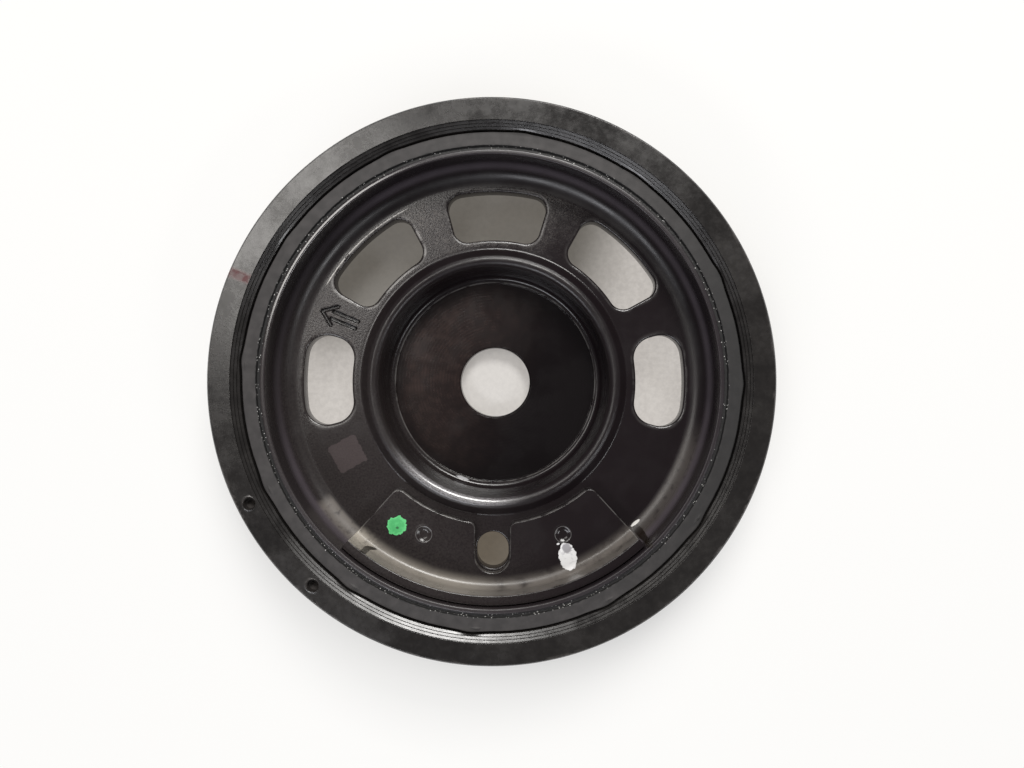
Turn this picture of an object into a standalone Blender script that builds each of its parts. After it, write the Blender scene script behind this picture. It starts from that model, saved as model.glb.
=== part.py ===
"""Crankshaft pulley whose belt ring is carried on rubber. Metres, +Z up.

The pulley lies flat, as it rests on a table: its axis is Z, the origin is in the middle
of the seat face that bears on the crankshaft, and the side that faces away from the
engine is up. Angles of features are degrees anticlockwise from +X, seen from above.
"""

import math

import bmesh
import bpy
from mathutils import Matrix, Vector

MM = 0.001

# Facets and shading
TURN_STEPS = 64
ARC_STEP_DEG = 30.0
SMALL_ARC_STEP_DEG = 90.0
CORNER_STEP_DEG = 22.5
EDGE_STEP_DEG = 6.0
DRILL_STEPS = 12
SHARP_EDGE_DEG = 32.0

# Fillets up to this radius are drawn with the small arc step
SMALL_FILLET = 1.2 * MM

# Clearance between pieces, overrun of cuts, and the distance at which points merge
FIT_GAP = 0.3 * MM
CUT_OVERRUN = 3.0 * MM
MERGE_DISTANCE = 0.001 * MM

# Belt ring
RING_RADIUS = 70.0 * MM
RING_WIDTH = 27.0 * MM
RING_WALL = 7.5 * MM
RING_STAND = 1.0 * MM
RING_EDGE_CHAMFER = 0.4 * MM
RING_REAR_CHAMFER = 1.0 * MM
RIM_STEP = 0.7 * MM
FRONT_RIM_WIDTH = 3.4 * MM
RIDGE_COUNT = 3
RIDGE_WIDTH = 0.61 * MM
RIDGE_STEP_DEPTH = 0.35 * MM
RIDGE_SLOPE_DEPTH = 0.3 * MM

# Belt grooves, the profile of a six-rib belt
GROOVE_COUNT = 6
GROOVE_PITCH = 3.56 * MM
GROOVE_DEPTH = 2.8 * MM
GROOVE_FLOOR = 0.5 * MM
RIB_LAND = 1.0 * MM

# Blind balance holes drilled in the ring's front face
BALANCE_HOLE_ANGLES_DEG = (206.7, 228.7)
BALANCE_HOLE_INSET = 3.3 * MM
BALANCE_HOLE_RADIUS = 1.4 * MM
BALANCE_HOLE_DEPTH = 1.9 * MM
BALANCE_POINT_DEPTH = 0.7 * MM

# Rubber between the ring and the hub
RUBBER_THICKNESS = 3.3 * MM
RUBBER_FACE_DEPTH = 2.6 * MM
RUBBER_LENGTH = 12.4 * MM
RUBBER_EDGE_ROUND = 0.4 * MM

# Drawn steel hub: outer wall and lip
SHEET = 4.5 * MM
WALL_THICKNESS = 2.7 * MM
WALL_BEND = 5.0 * MM
WALL_REAR_BEND = 7.0 * MM
WEB_DEPTH = 14.5 * MM
LIP_DEPTH = 2.4 * MM
LIP_WIDTH = 1.1 * MM
LIP_ROUND = 0.7 * MM
REBATE_DEPTH = 1.2 * MM

# Drawn steel hub: cup in the middle and the raised bump around its mouth
CUP_FOOT_RADIUS = 28.7 * MM
CUP_FOOT_FILLET = 1.3 * MM
CUP_DRAFT = 0.7 * MM
CUP_REAR_BEND = 3.0 * MM
CUP_REAR_FILLET = 1.5 * MM
SEAT_LEDGE = 1.5 * MM
SEAT_RECESS_DEPTH = 0.5 * MM
BOLT_HOLE_RADIUS = 9.45 * MM
BUMP_HEIGHT = 2.3 * MM
BUMP_TOP_WIDTH = 3.8 * MM
BUMP_SLOPE_WIDTH = 2.1 * MM
BUMP_ROUND = 2.4 * MM
BUMP_FOOT_FILLET = 1.0 * MM

# Windows in the hub's web: middle and half angle, and the size of the corners
WINDOWS_DEG = ((0.4, 15.5), (44.7, 16.0), (89.0, 16.0), (134.0, 16.0), (179.3, 15.2))
WINDOW_INNER_MARGIN = 1.6 * MM
WINDOW_OUTER_MARGIN = 1.8 * MM
WINDOW_CORNER = 3.7 * MM
END_WINDOW_CORNER = 5.6 * MM
CORNER_LIMIT_SHARE = 0.49

# Index slot in the hub's web
INDEX_ANGLE_DEG = 270.3
INDEX_OFFSET = 1.3 * MM
INDEX_HALF_WIDTH = 4.15 * MM
INDEX_HALF_LENGTH = 4.85 * MM

# Arrow stamped in the hub's web: it points outwards and its shaft is two strips
ARROW_ANGLE_DEG = 157.5
ARROW_TIP_MARGIN = 0.5 * MM
ARROW_LENGTH = 10.2 * MM
ARROW_HEAD_LENGTH = 3.8 * MM
ARROW_HEAD_HALF_WIDTH = 2.7 * MM
ARROW_STRIP_WIDTH = 0.9 * MM
ARROW_STRIP_GAP = 1.0 * MM
ARROW_DEPTH = 0.3 * MM

# Balance plate welded into the hub, notched around the index slot
PLATE_THICKNESS = 2.5 * MM
PLATE_INNER_MARGIN = 2.1 * MM
PLATE_TOP_DEPTH = 4.0 * MM
PLATE_START_DEG = 227.5
PLATE_END_DEG = 313.0
PLATE_SPARE_DEG = 2.0
PLATE_CORNER = 1.6 * MM
NOTCH_SIDE_GAP = 0.35 * MM
NOTCH_END_GAP = 0.55 * MM
NOTCH_MOUTH_ROUND = 1.8 * MM

# Pressed weld spots in the balance plate
WELD_ANGLES_DEG = (245.9, 294.7)
WELD_OFFSET = 0.55 * MM
WELD_RADIUS = 2.2 * MM
WELD_FLOOR_RADIUS = 1.2 * MM
WELD_DEPTH = 0.6 * MM

# Radii that follow from the sizes above
RING_BORE_RADIUS = RING_RADIUS - RING_WALL
WALL_RADIUS = RING_BORE_RADIUS - RUBBER_THICKNESS
WALL_INNER_RADIUS = WALL_RADIUS - WALL_THICKNESS
LIP_RADIUS = WALL_INNER_RADIUS + LIP_WIDTH
CUP_MOUTH_RADIUS = CUP_FOOT_RADIUS + CUP_DRAFT
BUMP_TOP_RADIUS = CUP_MOUTH_RADIUS + BUMP_TOP_WIDTH
BUMP_FOOT_RADIUS = BUMP_TOP_RADIUS + BUMP_SLOPE_WIDTH
WINDOW_INNER_RADIUS = BUMP_FOOT_RADIUS + WINDOW_INNER_MARGIN
WINDOW_OUTER_RADIUS = WALL_INNER_RADIUS - WALL_BEND - WINDOW_OUTER_MARGIN
WEB_MIDDLE_RADIUS = (WINDOW_INNER_RADIUS + WINDOW_OUTER_RADIUS) / 2
INDEX_CIRCLE = WEB_MIDDLE_RADIUS + INDEX_OFFSET
PLATE_INNER_RADIUS = BUMP_FOOT_RADIUS + PLATE_INNER_MARGIN

# Heights above the seat face that follow from the sizes above
FACE_Z = RING_STAND + RING_WIDTH
WEB_Z = FACE_Z - WEB_DEPTH
WEB_REAR_Z = WEB_Z - SHEET
LIP_Z = FACE_Z - LIP_DEPTH
REBATE_Z = LIP_Z - REBATE_DEPTH
RUBBER_FACE_Z = FACE_Z - RUBBER_FACE_DEPTH
PLATE_Z = WEB_Z + FIT_GAP + PLATE_THICKNESS
PLATE_TOP_Z = FACE_Z - PLATE_TOP_DEPTH


def clear_scene():
    for thing in list(bpy.data.objects):
        bpy.data.objects.remove(thing, do_unlink=True)


def coat(name, colour, roughness, metallic):
    material = bpy.data.materials.new(name)
    material.use_nodes = True
    shader = material.node_tree.nodes["Principled BSDF"]
    shader.inputs["Base Color"].default_value = (*colour, 1.0)
    shader.inputs["Roughness"].default_value = roughness
    shader.inputs["Metallic"].default_value = metallic
    material.diffuse_color = (*colour, 1.0)
    return material


def hub_coat():
    return coat("hub_coat", (0.013, 0.012, 0.012), 0.24, 0.0)


def ring_iron():
    return coat("ring_iron", (0.020, 0.018, 0.017), 0.35, 0.0)


def band_rubber():
    return coat("band_rubber", (0.036, 0.034, 0.033), 0.62, 0.0)


def plate_coat():
    return coat("plate_coat", (0.014, 0.012, 0.012), 0.24, 0.0)


def arc(centre, radius, start, sweep, step_deg):
    """Points of an arc, both ends included. Its angles are in radians."""
    count = max(1, round(abs(math.degrees(sweep)) / step_deg))
    turns = [start + sweep * i / count for i in range(count + 1)]
    return [(centre[0] + radius * math.cos(t), centre[1] + radius * math.sin(t)) for t in turns]


def fillet(before, corner, after, radius):
    """The arc that rounds a corner between two straight runs."""
    corner = Vector(corner)
    towards = (Vector(before) - corner).normalized()
    away = (Vector(after) - corner).normalized()
    half_opening = towards.angle(away) / 2
    centre = corner + (towards + away).normalized() * (radius / math.sin(half_opening))
    cut = radius / math.tan(half_opening)
    first = corner + towards * cut - centre
    last = corner + away * cut - centre
    start = math.atan2(first.y, first.x)
    sweep = math.atan2(last.y, last.x) - start
    sweep = (sweep + math.pi) % math.tau - math.pi
    step_deg = ARC_STEP_DEG if radius > SMALL_FILLET else SMALL_ARC_STEP_DEG
    return arc(centre, radius, start, sweep, step_deg)


def rounded(corners):
    """A closed outline from corners (x, y, fillet radius), each fillet drawn as an arc."""
    points = []
    for i, (x, y, radius) in enumerate(corners):
        before = corners[i - 1][:2]
        after = corners[(i + 1) % len(corners)][:2]
        points += fillet(before, (x, y), after, radius) if radius else [(x, y)]
    return points


def polar(radius, turn):
    return radius * math.cos(turn), radius * math.sin(turn)


def sector_outline(inner, outer, half_deg, inner_corner, outer_corner):
    """A ring sector around the +X direction, with radial sides and rounded corners."""
    half = math.radians(half_deg)
    outer_in = half - math.asin(outer_corner / (outer - outer_corner))
    inner_in = half - math.asin(inner_corner / (inner + inner_corner))
    outer_centre = polar(outer - outer_corner, outer_in)
    inner_centre = polar(inner + inner_corner, inner_in)
    side = half + math.pi / 2
    side_points = arc(outer_centre, outer_corner, outer_in, side - outer_in, CORNER_STEP_DEG)
    side_points += arc(inner_centre, inner_corner, side, inner_in + math.pi - side, CORNER_STEP_DEG)
    outer_arc = arc((0, 0), outer, -outer_in, 2 * outer_in, EDGE_STEP_DEG)
    inner_arc = arc((0, 0), inner, inner_in, -2 * inner_in, EDGE_STEP_DEG)
    mirrored = [(x, -y) for x, y in reversed(side_points)]
    return outer_arc + side_points[1:-1] + inner_arc + mirrored[1:-1]


def turn_about_z(degrees):
    return Matrix.Rotation(math.radians(degrees), 4, "Z")


def finish_mesh(name, builder, material=None):
    """Turns a bmesh into a named object, smooth where its faces meet at a low angle."""
    bmesh.ops.remove_doubles(builder, verts=builder.verts, dist=MERGE_DISTANCE)
    bmesh.ops.recalc_face_normals(builder, faces=builder.faces)
    mesh = bpy.data.meshes.new(name)
    builder.to_mesh(mesh)
    builder.free()
    if material:
        mesh.materials.append(material)
    mesh.shade_smooth()
    mesh.set_sharp_from_angle(angle=math.radians(SHARP_EDGE_DEG))
    thing = bpy.data.objects.new(name, mesh)
    bpy.context.scene.collection.objects.link(thing)
    return thing


def turned(name, outline, material):
    """A ring turned about Z from a closed outline of (radius, height) points."""
    builder = bmesh.new()
    spots = [builder.verts.new((radius, 0, height)) for radius, height in outline]
    edges = [builder.edges.new((spots[i - 1], spots[i])) for i in range(len(spots))]
    bmesh.ops.spin(
        builder,
        geom=spots + edges,
        cent=(0, 0, 0),
        axis=(0, 0, 1),
        angle=math.tau,
        steps=TURN_STEPS,
        use_merge=True,
    )
    return finish_mesh(name, builder, material)


def turned_sector(name, outline, start_deg, end_deg, material):
    """Part of a turned ring, closed at both ends."""
    builder = bmesh.new()
    face = builder.faces.new([builder.verts.new((x, 0, z)) for x, z in outline])
    bmesh.ops.transform(builder, matrix=turn_about_z(start_deg), verts=builder.verts)
    bmesh.ops.spin(
        builder,
        geom=[face],
        cent=(0, 0, 0),
        axis=(0, 0, 1),
        angle=math.radians(end_deg - start_deg),
        steps=round((end_deg - start_deg) / EDGE_STEP_DEG),
    )
    return finish_mesh(name, builder, material)


def prism(name, outline, low, high, turn_deg=0.0):
    """An upright prism on an outline of (x, y) points, turned about the pulley's axis."""
    builder = bmesh.new()
    face = builder.faces.new([builder.verts.new((x, y, low)) for x, y in outline])
    raised = bmesh.ops.extrude_face_region(builder, geom=[face])
    tops = [part for part in raised["geom"] if isinstance(part, bmesh.types.BMVert)]
    bmesh.ops.translate(builder, verts=tops, vec=(0, 0, high - low))
    bmesh.ops.transform(builder, matrix=turn_about_z(turn_deg), verts=builder.verts)
    return finish_mesh(name, builder)


def tapered_drill(name, circle, angle_deg, surface, top_radius, low_radius, depth, point=0.0):
    """A drill or punch that enters a surface from above and reaches a depth below it.

    Its side keeps the same slope above the surface, for the length of the overrun.
    """
    slope = (top_radius - low_radius) / depth
    builder = bmesh.new()
    bmesh.ops.create_cone(
        builder,
        cap_ends=True,
        cap_tris=True,
        segments=DRILL_STEPS,
        radius1=low_radius,
        radius2=top_radius + slope * CUT_OVERRUN,
        depth=depth + CUT_OVERRUN,
    )
    lowest = min(vert.co.z for vert in builder.verts)
    for vert in builder.verts:
        if vert.co.z == lowest and vert.co.xy.length < MERGE_DISTANCE:
            vert.co.z -= point
    x, y = polar(circle, math.radians(angle_deg))
    bmesh.ops.translate(builder, verts=builder.verts, vec=(x, y, surface - depth - lowest))
    return finish_mesh(name, builder)


def combine(thing, tool, operation="DIFFERENCE"):
    """Adds an exact Boolean with a tool that is kept as a wire guide."""
    tool.hide_render = True
    tool.display_type = "WIRE"
    step = thing.modifiers.new(tool.name, "BOOLEAN")
    step.operation = operation
    step.solver = "EXACT"
    step.object = tool


def groove_points():
    """The belt side of the ring, from its front rim down to its rear rim."""
    tip = RING_RADIUS - RIM_STEP
    floor = tip - GROOVE_DEPTH
    top = FACE_Z - FRONT_RIM_WIDTH
    half_mouth = (GROOVE_PITCH - RIB_LAND) / 2
    points = [(RING_RADIUS, top + RIM_STEP), (tip, top)]
    for i in range(GROOVE_COUNT):
        middle = top - (i + 0.5) * GROOVE_PITCH
        points += [
            (tip, middle + half_mouth),
            (floor, middle + GROOVE_FLOOR / 2),
            (floor, middle - GROOVE_FLOOR / 2),
            (tip, middle - half_mouth),
        ]
    bottom = top - GROOVE_COUNT * GROOVE_PITCH
    return points + [(tip, bottom), (RING_RADIUS, bottom - RIM_STEP)]


def ridge_points():
    """The stepped edge between the ring's bore and its flat front face."""
    points = []
    radius = RING_BORE_RADIUS
    height = FACE_Z - RIDGE_COUNT * (RIDGE_STEP_DEPTH + RIDGE_SLOPE_DEPTH)
    for _ in range(RIDGE_COUNT):
        points.append((radius, height))
        radius += RIDGE_WIDTH
        height += RIDGE_SLOPE_DEPTH
        points.append((radius, height))
        height += RIDGE_STEP_DEPTH
    return points + [(radius, height)]


def pulley_ring():
    outline = ridge_points()
    outline.append((RING_RADIUS - RING_EDGE_CHAMFER, FACE_Z))
    outline.append((RING_RADIUS, FACE_Z - RING_EDGE_CHAMFER))
    outline += groove_points()
    outline.append((RING_RADIUS, RING_STAND + RING_EDGE_CHAMFER))
    outline.append((RING_RADIUS - RING_EDGE_CHAMFER, RING_STAND))
    outline.append((RING_BORE_RADIUS + RING_REAR_CHAMFER, RING_STAND))
    outline.append((RING_BORE_RADIUS, RING_STAND + RING_REAR_CHAMFER))
    ring = turned("pulley_ring", outline, ring_iron())
    for i, angle in enumerate(BALANCE_HOLE_ANGLES_DEG):
        drill = tapered_drill(
            f"balance_drill_{i + 1}",
            RING_RADIUS - BALANCE_HOLE_INSET,
            angle,
            FACE_Z,
            BALANCE_HOLE_RADIUS,
            BALANCE_HOLE_RADIUS,
            BALANCE_HOLE_DEPTH,
            BALANCE_POINT_DEPTH,
        )
        combine(ring, drill)


def rubber_ring():
    """The rubber sleeve, whose front lip covers the end of the hub's wall."""
    outer = RING_BORE_RADIUS - FIT_GAP
    inner = WALL_RADIUS + FIT_GAP
    lip_inner = LIP_RADIUS + FIT_GAP
    under_lip = REBATE_Z + FIT_GAP
    rear = RUBBER_FACE_Z - RUBBER_LENGTH
    outline = rounded([
        (outer, RUBBER_FACE_Z, RUBBER_EDGE_ROUND),
        (outer, rear, RUBBER_EDGE_ROUND),
        (inner, rear, RUBBER_EDGE_ROUND),
        (inner, under_lip, 0),
        (lip_inner, under_lip, 0),
        (lip_inner, RUBBER_FACE_Z, 0),
    ])
    turned("rubber_ring", outline, band_rubber())


def hub_outline():
    """The hub's section: up the cup and over the bump, across the web to the lip, and back."""
    bump_top = WEB_Z + BUMP_HEIGHT
    ledge = SHEET + SEAT_RECESS_DEPTH
    recess_radius = CUP_FOOT_RADIUS - SEAT_LEDGE
    cup_rear_radius = CUP_FOOT_RADIUS + SHEET
    return rounded([
        (BOLT_HOLE_RADIUS, SHEET, 0),
        (recess_radius, SHEET, 0),
        (recess_radius, ledge, 0),
        (CUP_FOOT_RADIUS, ledge, CUP_FOOT_FILLET),
        (CUP_MOUTH_RADIUS, bump_top, BUMP_ROUND),
        (BUMP_TOP_RADIUS, bump_top, BUMP_ROUND),
        (BUMP_FOOT_RADIUS, WEB_Z, BUMP_FOOT_FILLET),
        (WALL_INNER_RADIUS, WEB_Z, WALL_BEND),
        (WALL_INNER_RADIUS, LIP_Z, LIP_ROUND),
        (LIP_RADIUS, LIP_Z, 0),
        (LIP_RADIUS, REBATE_Z, 0),
        (WALL_RADIUS, REBATE_Z, 0),
        (WALL_RADIUS, WEB_REAR_Z, WALL_REAR_BEND),
        (cup_rear_radius, WEB_REAR_Z, CUP_REAR_FILLET),
        (cup_rear_radius, 0, CUP_REAR_BEND),
        (BOLT_HOLE_RADIUS, 0, 0),
    ])


def window_cutters():
    low = WEB_REAR_Z - CUT_OVERRUN
    high = WEB_Z + CUT_OVERRUN
    limit = CORNER_LIMIT_SHARE * (WINDOW_OUTER_RADIUS - WINDOW_INNER_RADIUS)
    last = len(WINDOWS_DEG) - 1
    for i, (middle, half) in enumerate(WINDOWS_DEG):
        corner = min(END_WINDOW_CORNER if i in (0, last) else WINDOW_CORNER, limit)
        outline = sector_outline(WINDOW_INNER_RADIUS, WINDOW_OUTER_RADIUS, half, corner, corner)
        yield prism(f"window_cutter_{i + 1}", outline, low, high, middle)


def index_cutter():
    """The index slot: two half circles joined by short straight sides, long along a radius."""
    reach = INDEX_HALF_LENGTH - INDEX_HALF_WIDTH
    outer = arc((INDEX_CIRCLE + reach, 0), INDEX_HALF_WIDTH, -math.pi / 2, math.pi, CORNER_STEP_DEG)
    inner = arc((INDEX_CIRCLE - reach, 0), INDEX_HALF_WIDTH, math.pi / 2, math.pi, CORNER_STEP_DEG)
    low = WEB_REAR_Z - CUT_OVERRUN
    return prism("index_cutter", outer + inner, low, WEB_Z + CUT_OVERRUN, INDEX_ANGLE_DEG)


def arrow_cutter():
    """The stamped arrow: a triangular head and a shaft of two parallel strips."""
    tip = WINDOW_OUTER_RADIUS - ARROW_TIP_MARGIN
    neck = tip - ARROW_HEAD_LENGTH
    tail = tip - ARROW_LENGTH
    near = ARROW_STRIP_GAP / 2
    far = near + ARROW_STRIP_WIDTH
    side = [
        (neck, near),
        (tail, near),
        (tail, far),
        (neck, far),
        (neck, ARROW_HEAD_HALF_WIDTH),
    ]
    outline = side + [(tip, 0)] + [(x, -y) for x, y in reversed(side)]
    bottom = WEB_Z - ARROW_DEPTH
    return prism("arrow_cutter", outline, bottom, WEB_Z + CUT_OVERRUN, ARROW_ANGLE_DEG)


def hub():
    drawn = turned("hub", hub_outline(), hub_coat())
    for cutter in window_cutters():
        combine(drawn, cutter)
    combine(drawn, index_cutter())
    combine(drawn, arrow_cutter())


def plate_section():
    """The plate's section: flat on the web, then bent up along the inside of the hub's wall."""
    outside = WALL_INNER_RADIUS - FIT_GAP
    bottom = WEB_Z + FIT_GAP
    bend = WALL_BEND - FIT_GAP
    inside = outside - PLATE_THICKNESS
    start = PLATE_INNER_RADIUS - CUT_OVERRUN
    return rounded([
        (start, bottom, 0),
        (outside, bottom, bend),
        (outside, PLATE_TOP_Z, 0),
        (inside, PLATE_TOP_Z, 0),
        (inside, PLATE_Z, bend - PLATE_THICKNESS),
        (start, PLATE_Z, 0),
    ])


def plate_blank_cutter():
    """The plate's form seen from above, which trims its ends and its inner edge."""
    half = (PLATE_END_DEG - PLATE_START_DEG) / 2
    outline = sector_outline(PLATE_INNER_RADIUS, WALL_RADIUS, half, PLATE_CORNER, FIT_GAP)
    middle = PLATE_START_DEG + half
    return prism("plate_blank", outline, WEB_REAR_Z, FACE_Z, middle)


def notch_cutter():
    """The notch around the index slot, open towards the pulley's axis, with a flared mouth."""
    half_width = INDEX_HALF_WIDTH + NOTCH_SIDE_GAP
    end = INDEX_CIRCLE + INDEX_HALF_LENGTH + NOTCH_END_GAP - half_width
    across = half_width + NOTCH_MOUTH_ROUND
    along = math.sqrt((PLATE_INNER_RADIUS + NOTCH_MOUTH_ROUND) ** 2 - across**2)
    start = math.atan2(across, along) + math.pi
    sweep = 1.5 * math.pi - start
    flare = arc((along, across), NOTCH_MOUTH_ROUND, start, sweep, CORNER_STEP_DEG)
    back = (PLATE_INNER_RADIUS - CUT_OVERRUN, flare[0][1])
    side = [back] + flare
    bottom = arc((end, 0), half_width, math.pi / 2, -math.pi, CORNER_STEP_DEG)
    outline = side + bottom + [(x, -y) for x, y in reversed(side)]
    low = WEB_REAR_Z
    return prism("notch_cutter", outline, low, PLATE_Z + CUT_OVERRUN, INDEX_ANGLE_DEG)


def balance_plate():
    section = plate_section()
    start = PLATE_START_DEG - PLATE_SPARE_DEG
    end = PLATE_END_DEG + PLATE_SPARE_DEG
    plate = turned_sector("balance_plate", section, start, end, plate_coat())
    combine(plate, plate_blank_cutter(), "INTERSECT")
    combine(plate, notch_cutter())
    for i, angle in enumerate(WELD_ANGLES_DEG):
        punch = tapered_drill(
            f"weld_punch_{i + 1}",
            WEB_MIDDLE_RADIUS + WELD_OFFSET,
            angle,
            PLATE_Z,
            WELD_RADIUS,
            WELD_FLOOR_RADIUS,
            WELD_DEPTH,
        )
        combine(plate, punch)


def main():
    clear_scene()
    pulley_ring()
    rubber_ring()
    hub()
    balance_plate()


main()
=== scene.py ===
"""Dresses the crankshaft pulley: its fine shapes, its finishes, the stage and the camera.

Shapes are worked out in millimetres around the pulley's axis, which is Z. Angles are
degrees anticlockwise from +X, seen from above.
"""

import math

import bmesh
import bpy
import numpy as np
from bpy.props import FloatProperty, FloatVectorProperty, IntProperty
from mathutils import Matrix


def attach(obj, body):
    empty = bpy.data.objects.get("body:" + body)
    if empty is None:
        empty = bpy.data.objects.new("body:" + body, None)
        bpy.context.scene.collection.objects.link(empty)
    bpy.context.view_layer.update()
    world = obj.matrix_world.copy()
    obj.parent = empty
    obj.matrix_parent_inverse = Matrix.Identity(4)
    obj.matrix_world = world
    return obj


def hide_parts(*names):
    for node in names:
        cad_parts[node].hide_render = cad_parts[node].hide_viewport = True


bl_info = {
    "name": "Crankshaft pulley",
    "version": (1, 0, 0),
    "blender": (4, 5, 0),
    "location": "3D View > Sidebar > Pulley",
    "description": "Builds the dressed crankshaft pulley around its packed model",
    "category": "Object",
}

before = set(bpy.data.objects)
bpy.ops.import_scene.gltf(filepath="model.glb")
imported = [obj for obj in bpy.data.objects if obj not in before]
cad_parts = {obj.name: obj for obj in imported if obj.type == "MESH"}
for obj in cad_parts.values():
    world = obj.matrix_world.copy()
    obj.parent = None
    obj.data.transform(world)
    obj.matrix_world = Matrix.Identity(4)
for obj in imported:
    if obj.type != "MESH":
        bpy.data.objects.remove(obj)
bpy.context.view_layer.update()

MM = 0.001
QUARTER = math.pi / 2
BODY = "root"
MERGE_DISTANCE = 0.002 * MM
SHARP_EDGE_DEG = 50.0

# Heights above the seat face, in millimetres, that the pieces share
FACE_Z = 28.0
WEB_Z = 13.5
WEB_REAR_Z = 9.0
LIP_Z = 25.6
REBATE_Z = 24.4
BUMP_Z = 15.8
PLATE_Z = 16.3
PLATE_TOP = 24.0
SEAT_Z = 4.5
LEDGE_Z = 5.0

# Radii and widths in millimetres, and angles, that the pieces and their finishes share
HOLE_INSET = 3.3
HOLE_RADIUS = 1.4
RING_BORE = 62.5
RIDGE_COUNT = 3
RIDGE_WIDTH = 0.61
WALL_OUTER = 59.2
WALL_INNER = 56.5
LIP_OUTER = 57.75
PLATE_WALL = 53.7
PLATE_START = 227.5
PLATE_END = 313.0
WINDOW_OUTER = 50.15
WINDOW_CIRCLE = 43.3
WINDOW_INNER = 37.35
BUMP_FOOT = 34.9
CUP_FOOT = 28.7
SEAT_RIM = 27.0
BOLT_HOLE = 9.45
ARROW_ANGLE = 157.5
INDEX_ANGLE = 269.6
INDEX_CIRCLE = 44.25
INDEX_HALF_WIDTH = 4.15
INDEX_HALF_LENGTH = 4.85
BULGE = 0.38
WELD_ANGLES = (245.4, 294.5)
WELD_CIRCLE = 43.55


class RingSettings(bpy.types.PropertyGroup):
    radius: FloatProperty(
        name="Outer radius", description="Radius of the belt ring", default=0.070, subtype="DISTANCE"
    )
    edge: FloatProperty(
        name="Edge chamfer", description="Chamfer of the front rim", default=0.0004, subtype="DISTANCE"
    )
    grooves: IntProperty(name="Grooves", description="Number of belt grooves", default=6, min=1)
    pitch: FloatProperty(
        name="Groove pitch", description="Distance between grooves", default=0.00356, subtype="DISTANCE"
    )
    colour: FloatVectorProperty(
        name="Iron", description="Blackened iron", default=(0.0125, 0.0115, 0.0110), subtype="COLOR"
    )


class RubberSettings(bpy.types.PropertyGroup):
    face: FloatProperty(
        name="Face height", description="Height of the front face", default=0.0254, subtype="DISTANCE"
    )
    length: FloatProperty(
        name="Length", description="Length along the axis", default=0.0124, subtype="DISTANCE"
    )
    colour: FloatVectorProperty(
        name="Rubber", description="Dry rubber", default=(0.034, 0.0310, 0.0305), subtype="COLOR"
    )


class HubSettings(bpy.types.PropertyGroup):
    roll: FloatProperty(
        name="Punched edge", description="Width of the rolled edge of a window", default=0.0009,
        subtype="DISTANCE",
    )
    arrow_depth: FloatProperty(
        name="Arrow depth", description="Depth of the stamped arrow", default=0.0006, subtype="DISTANCE"
    )
    colour: FloatVectorProperty(
        name="Coat", description="Black dip coat", default=(0.0100, 0.0070, 0.0080), subtype="COLOR"
    )


class PlateSettings(bpy.types.PropertyGroup):
    thickness: FloatProperty(
        name="Thickness", description="Sheet thickness", default=0.0025, subtype="DISTANCE"
    )
    colour: FloatVectorProperty(
        name="Coat", description="Black dip coat", default=(0.0105, 0.0074, 0.0084), subtype="COLOR"
    )
    green: FloatVectorProperty(
        name="Green paint", description="Inspection dab", default=(0.060, 0.40, 0.125), subtype="COLOR"
    )
    white: FloatVectorProperty(
        name="White paint", description="Balance dab", default=(0.80, 0.80, 0.80), subtype="COLOR"
    )


class StageSettings(bpy.types.PropertyGroup):
    floor: FloatVectorProperty(
        name="Floor", description="Pale floor", default=(0.86, 0.855, 0.84), subtype="COLOR"
    )
    world: FloatProperty(name="World", description="Strength of the plain world light", default=0.10)
    lens: FloatProperty(name="Lens", description="Focal length in millimetres", default=28.23)
    height: FloatProperty(
        name="Camera height", description="Above the front face", default=0.197, subtype="DISTANCE"
    )


# Curves and grids


def polar(radius, degrees):
    """Points at a radius and an angle: across is radius by cosine, up is radius by sine."""
    turn = np.radians(degrees)
    return np.stack(np.broadcast_arrays(radius * np.cos(turn), radius * np.sin(turn)), -1)


def arc(centre, radius, start, end, count):
    """Points on a circle, evenly spaced in angle from start to end in degrees."""
    return np.asarray(centre) + polar(radius, np.linspace(start, end, count))


def rounded(corners):
    """A path through corners (across, up, radius), each rounded by a touching circle.

    The circle's middle lies on the line that halves the corner, at the radius divided by
    the sine of half the opening, and its arc runs between the two touching points.
    """
    spots = np.array([c[:2] for c in corners], float)
    runs = []
    for i, (_, _, radius) in enumerate(corners):
        if not radius or i in (0, len(corners) - 1):
            runs.append(spots[i : i + 1])
            continue
        towards, away = spots[i - 1] - spots[i], spots[i + 1] - spots[i]
        towards, away = towards / np.linalg.norm(towards), away / np.linalg.norm(away)
        half = math.acos(np.clip(towards @ away, -1, 1)) / 2
        bisector = (towards + away) / np.linalg.norm(towards + away)
        centre = spots[i] + bisector * radius / math.sin(half)
        first = spots[i] + towards * radius / math.tan(half) - centre
        last = spots[i] + away * radius / math.tan(half) - centre
        start = math.degrees(math.atan2(first[1], first[0]))
        sweep = math.degrees(math.atan2(last[1], last[0])) - start
        sweep = (sweep + 180) % 360 - 180
        count = 3 + int(abs(sweep) / 90 * (4 + 6 * math.sqrt(radius)))
        runs.append(arc(centre, radius, start, start + sweep, count))
    return np.concatenate(runs)


def smooth(value, start, end):
    """Rises from 0 at start to 1 at end as three squares less two cubes of the share."""
    share = np.clip((value - start) / (end - start), 0, 1)
    return share * share * (3 - 2 * share)


def angles_around(step, *closer):
    """Angles once around at one step, with closer steps inside (start, end, step) ranges."""
    found = np.arange(0, 360, step, dtype=float)
    for start, end, fine in closer:
        found = found[(found < start) | (found > end)]
        found = np.concatenate([found, np.arange(start, end + fine / 2, fine)])
    return np.sort(found)


def span(angles, start, end):
    """The angles from start to end, both included, counted on past a full turn."""
    after = (angles - start + 1e-6) % 360 - 1e-6
    return start + np.sort(after[after <= end - start + 1e-6])


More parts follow.
